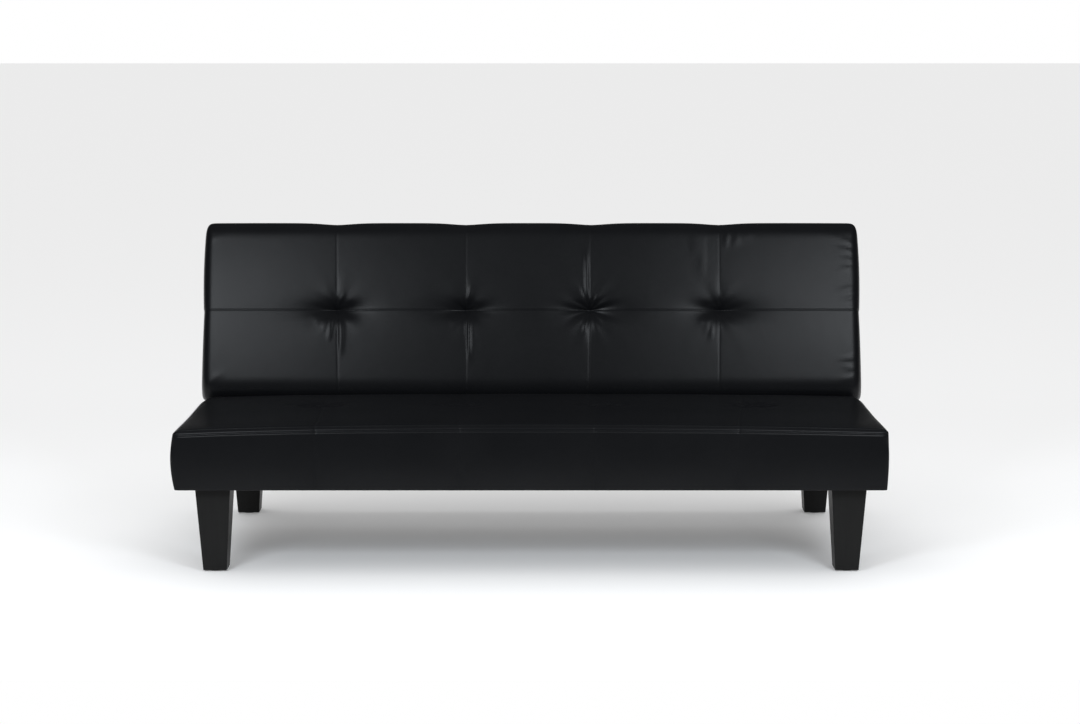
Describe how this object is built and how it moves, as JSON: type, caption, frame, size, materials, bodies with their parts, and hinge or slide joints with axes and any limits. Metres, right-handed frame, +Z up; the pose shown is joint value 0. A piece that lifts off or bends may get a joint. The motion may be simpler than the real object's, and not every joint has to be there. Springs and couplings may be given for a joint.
{
  "type": "click-clack sofa bed",
  "caption": "Armless sofa bed with tufted seat and back cushions on tapered block legs; the back reclines on click-clack hinges until it lies flat as a bed.",
  "frame": {"origin": "on the floor, in the middle of the footprint with the back up", "axes": "+Z up; +X to the right as seen from the front; the front faces -Y"},
  "size_m": [1.68, 0.7616, 0.7757],
  "materials": {
    "faux_leather": "semi-gloss, finely grained",
    "foam": "matt open-cell foam",
    "dust_cloth": "matt non-woven cloth",
    "twine": "matt twisted twine",
    "pine": "sawn, unfinished",
    "fibreboard": "pressed board",
    "black_wood": "satin black paint",
    "black_steel": "satin powder coat",
    "spring_steel": "bare drawn wire",
    "zinc_steel": "zinc plated",
    "black_plastic": "moulded",
    "black_rubber": "moulded"
  },
  "bodies": {
    "base": {"seat_cover": "faux_leather", "seat_foam": "foam", "seat_dust_cover": "dust_cloth", "seat_rail_front": "pine", "seat_rail_rear": "pine", "seat_rail_left": "pine", "seat_rail_right": "pine", "seat_braces": "pine", "seat_side_board_left": "fibreboard", "seat_side_board_right": "fibreboard", "seat_spacer_blocks": "pine", "seat_springs": "spring_steel", "seat_spring_clips": "zinc_steel", "seat_tuft_ties": "twine", "support_beam_left": "black_steel", "support_beam_right": "black_steel", "cross_tube_front": "black_steel", "cross_tube_rear": "black_steel", "beam_end_caps": "black_plastic", "beam_bolts": "zinc_steel", "back_bumpers": "black_rubber", "leg_front_left": "black_wood", "leg_front_right": "black_wood", "leg_rear_left": "black_wood", "leg_rear_right": "black_wood", "leg_plates": "zinc_steel", "leg_plate_screws": "zinc_steel", "leg_hanger_bolts": "zinc_steel", "foot_glides": "black_plastic", "hinge_plate_left": "zinc_steel", "hinge_plate_right": "zinc_steel", "hinge_plate_bolts": "zinc_steel", "pivot_bolts": "zinc_steel", "pivot_nuts": "zinc_steel", "pawl_pins": "zinc_steel", "pawl_springs": "spring_steel"},
    "back": {"back_cover": "faux_leather", "back_foam": "foam", "back_dust_cover": "dust_cloth", "back_rail_bottom": "pine", "back_rail_top": "pine", "back_rail_left": "pine", "back_rail_right": "pine", "back_braces": "pine", "back_springs": "spring_steel", "back_spring_clips": "zinc_steel", "back_tuft_ties": "twine", "back_arm_left": "zinc_steel", "back_arm_right": "zinc_steel", "back_arm_bolts": "zinc_steel"},
    "pawl_left": {"pawl_left": "zinc_steel"},
    "pawl_right": {"pawl_right": "zinc_steel"}
  },
  "joints": [
    {"name": "back_recline", "type": "hinge", "parent": "base", "child": "back", "pos_m": [0, 0.16925, 0.319], "axis": [-1, 0, 0], "range_deg": [-10, 75]},
    {"name": "pawl_left_lift", "type": "hinge", "parent": "base", "child": "pawl_left", "pos_m": [-0.76, 0.10725, 0.267], "axis": [-1, 0, 0], "range_deg": [0, 12], "stiffness_Nm_per_rad": 0.4, "springref_deg": -17.19},
    {"name": "pawl_right_lift", "type": "hinge", "parent": "base", "child": "pawl_right", "pos_m": [0.76, 0.10725, 0.267], "axis": [-1, 0, 0], "range_deg": [0, 12], "stiffness_Nm_per_rad": 0.4, "springref_deg": -17.19}
  ]
}
